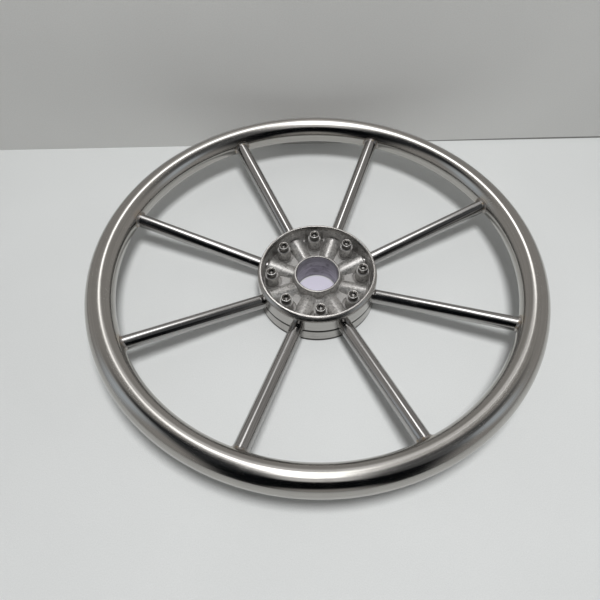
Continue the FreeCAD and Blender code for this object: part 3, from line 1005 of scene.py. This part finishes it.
def room_light(studio):
    """The room that the steel mirrors, an even fill for the stage, and a plain backdrop."""
    world = bpy.data.worlds.new("Room")
    world.use_nodes = True
    world.cycles.sampling_method = "NONE"
    bpy.context.scene.world = world
    nodes = Nodes(world.node_tree)
    background = world.node_tree.nodes["Background"]
    way = nodes.add("ShaderNodeTexCoord").outputs["Generated"]
    x, y, z = nodes.add("ShaderNodeSeparateXYZ", {"Vector": way}).outputs
    side = nodes.math("ABSOLUTE", x)

    def patch(across, low, high):
        """A soft patch of directions: across from the middle, and low to high front to back."""
        along_y = nodes.product(nodes.spread(y, *low), nodes.spread(y, *high, 1.0, 0.0))
        return nodes.product(nodes.spread(side, *across, 1.0, 0.0), along_y)

    def spot(middle_x, middle_y, size):
        """A round soft patch of directions."""
        level = nodes.add("ShaderNodeCombineXYZ", {"X": x, "Y": y}).outputs[0]
        inputs = {0: level, 1: (middle_x, middle_y, 0)}
        apart = nodes.add("ShaderNodeVectorMath", inputs, operation="DISTANCE")
        return nodes.spread(apart.outputs["Value"], 0.02, size, 1.0, 0.0)

    lamp = patch((0.03, 0.11), (-0.10, 0.04), (0.52, 0.66))
    ceiling = patch((0.08, 0.24), (-0.48, -0.36), (0.74, 0.90))
    gloom = patch((0.56, 0.80), (-1.0, -0.88), (0.10, 0.36))
    night = patch((0.50, 0.68), (-0.98, -0.90), (-0.50, -0.38))
    windows = nodes.math("MAXIMUM", spot(-0.86, -0.03, 0.30), spot(0.77, -0.20, 0.26))
    dim = nodes.mix(nodes.spread(x, -0.5, 0.5), grey(0.03, -0.1), grey(0.11, -0.03))
    room = nodes.mix(gloom, grey(studio.room, 0.03), dim)
    room = nodes.mix(night, room, grey(studio.shade, -0.2))
    room = nodes.mix(windows, room, grey(0.66, -0.10))
    above = nodes.spread(z, 0.1, 0.3)
    room = nodes.mix(nodes.product(ceiling, above), room, grey(0.95))
    lit = nodes.mix(nodes.product(lamp, above), room, grey(studio.lamp))
    path = nodes.add("ShaderNodeLightPath").outputs
    fill = nodes.mix(path["Is Diffuse Ray"], lit, grey(studio.fill))
    colour = nodes.mix(path["Is Camera Ray"], fill, grey(0.55, 0.005))
    nodes.tree.links.new(colour, background.inputs["Color"])


def soft_lamp(name, place, size, power):
    """A round soft lamp above the table that the steel doesn't mirror."""
    data = bpy.data.lights.new(name, "AREA")
    data.shape = "DISK"
    data.size = size
    data.energy = power
    lamp = bpy.data.objects.new(name, data)
    lamp.location = place
    lamp.rotation_euler = (-Vector(place)).to_track_quat("-Z", "Y").to_euler()
    lamp.visible_glossy = False
    bpy.context.scene.collection.objects.link(lamp)


def camera(studio):
    """The camera above and in front of the wheel, looking down at it."""
    data = bpy.data.cameras.new("Camera")
    data.lens = studio.lens
    data.shift_x, data.shift_y = -0.0165, -0.0103
    data.clip_start, data.clip_end = 0.01, 50
    viewer = bpy.data.objects.new("Camera", data)
    place = Matrix.Translation((-0.03173, -0.35140, 0.49305))
    pan = Matrix.Rotation(math.radians(-3.977), 4, "Z")
    tilt = Matrix.Rotation(math.radians(35.32), 4, "X")
    roll = Matrix.Rotation(math.radians(0.596), 4, "Z")
    viewer.matrix_world = place @ pan @ tilt @ roll
    bpy.context.scene.collection.objects.link(viewer)
    bpy.context.scene.camera = viewer


# --------------------------------------------------------------- operators


class WHEEL_OT_rim(Operator):
    """Make the rim tube"""

    bl_idname = "wheel.rim"
    bl_label = "Rim"

    def execute(self, context):
        sizes, finishes = context.scene.wheel_sizes, context.scene.wheel_finishes
        mesh = rim_mesh(sizes)
        mesh.materials.append(rim_steel(finishes, sizes))
        place = Matrix.Translation((0, 0, sizes.rim_height))
        mesh_object("Rim", mesh, place, ["rim_tube"])
        return {"FINISHED"}


class WHEEL_OT_spokes(Operator):
    """Make the spokes"""

    bl_idname = "wheel.spokes"
    bl_label = "Spokes"

    def execute(self, context):
        sizes = context.scene.wheel_sizes
        mesh = spoke_mesh(sizes)
        mesh.materials.append(spoke_steel(context.scene.wheel_finishes))
        for number in range(1, COUNT + 1):
            place = spoke_matrix(sizes, number)
            mesh_object(f"Spoke_{number}", mesh, place, [f"spoke_{number}"])
        return {"FINISHED"}


class WHEEL_OT_welds(Operator):
    """Make the welds between the spokes and the rim"""

    bl_idname = "wheel.welds"
    bl_label = "Welds"

    def execute(self, context):
        sizes = context.scene.wheel_sizes
        mesh = weld_mesh(sizes)
        mesh.materials.append(weld_steel(context.scene.wheel_finishes))
        for number in range(1, COUNT + 1):
            place = spoke_matrix(sizes, number)
            mesh_object(f"Weld_{number}", mesh, place, [f"rim_weld_{number}"])
        return {"FINISHED"}


class WHEEL_OT_hub(Operator):
    """Finish the two halves of the hub"""

    bl_idname = "wheel.hub"
    bl_label = "Hub"

    def execute(self, context):
        finishes = context.scene.wheel_finishes
        for name, material in (
            ("hub_base_half", base_steel(finishes)),
            ("hub_clamp_half", dish_steel(finishes)),
        ):
            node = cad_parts[name]
            node.data.materials.clear()
            node.data.materials.append(material)
        return {"FINISHED"}


class WHEEL_OT_screws(Operator):
    """Make the clamp screws"""

    bl_idname = "wheel.screws"
    bl_label = "Clamp screws"

    def execute(self, context):
        sizes = context.scene.wheel_sizes
        mesh = screw_mesh(sizes)
        mesh.materials.append(screw_steel(context.scene.wheel_finishes))
        for number in range(1, COUNT + 1):
            turn = Matrix.Rotation(math.radians(360 / COUNT * (number - 1)), 4, "Z")
            seat = Matrix.Translation((sizes.screw_circle, 0, sizes.screw_seat))
            tightened = Matrix.Rotation(math.radians(23 * number), 4, "Z")
            name = f"Clamp_screw_{number}"
            mesh_object(name, mesh, turn @ seat @ tightened, [f"clamp_screw_{number}"])
        return {"FINISHED"}


class WHEEL_OT_studio(Operator):
    """Set the table, the wall, the light and the camera"""

    bl_idname = "wheel.studio"
    bl_label = "Studio"

    def execute(self, context):
        studio = context.scene.wheel_studio
        table = stage_material("table_top", studio.table, 900.0, 0.00015, 0.45, painted_bore_tint)
        wall = stage_material("wall_paint", studio.wall, 700.0, 0.0001, 0.65, shadow_gap)
        floor = Matrix.Translation((0, 0, CAD_BOX[0].z - 0.0001))
        plate("Table", 3.0, 3.0, floor, table)
        turn = Matrix.Rotation(math.radians(-1.29), 4, "Z")
        stand = Matrix.Translation((0, studio.wall_distance, studio.wall_height / 2))
        upright = Matrix.Rotation(math.radians(90), 4, "X")
        back = plate("Wall", 2.0, studio.wall_height / 2, turn @ stand @ upright, wall)
        back.visible_glossy = False
        room_light(studio)
        soft_lamp("Key", (0.07, -0.36, 1.5), 0.42, studio.key)
        camera(studio)
        context.scene.view_settings.view_transform = "Standard"
        return {"FINISHED"}


class VIEW3D_PT_wheel(Panel):
    """The wheel's pieces and their sizes"""

    bl_label = "Ship steering wheel"
    bl_space_type = "VIEW_3D"
    bl_region_type = "UI"
    bl_category = "Wheel"

    def draw(self, context):
        layout = self.layout
        for operator in OPERATORS:
            layout.operator(operator.bl_idname)
        scene = context.scene
        for group in (scene.wheel_sizes, scene.wheel_finishes, scene.wheel_studio):
            box = layout.box()
            for name in group.__annotations__:
                box.prop(group, name)


OPERATORS = (
    WHEEL_OT_rim,
    WHEEL_OT_spokes,
    WHEEL_OT_welds,
    WHEEL_OT_hub,
    WHEEL_OT_screws,
    WHEEL_OT_studio,
)
CLASSES = (WheelSizes, WheelFinishes, WheelStudio, *OPERATORS, VIEW3D_PT_wheel)


def register():
    for item in CLASSES:
        bpy.utils.register_class(item)
    bpy.types.Scene.wheel_sizes = PointerProperty(type=WheelSizes)
    bpy.types.Scene.wheel_finishes = PointerProperty(type=WheelFinishes)
    bpy.types.Scene.wheel_studio = PointerProperty(type=WheelStudio)


def unregister():
    del bpy.types.Scene.wheel_studio
    del bpy.types.Scene.wheel_finishes
    del bpy.types.Scene.wheel_sizes
    for item in reversed(CLASSES):
        bpy.utils.unregister_class(item)


def main():
    register()
    bpy.ops.wheel.rim()
    bpy.ops.wheel.spokes()
    bpy.ops.wheel.welds()
    bpy.ops.wheel.hub()
    bpy.ops.wheel.screws()
    bpy.ops.wheel.studio()


if __name__ == "__main__":
    main()
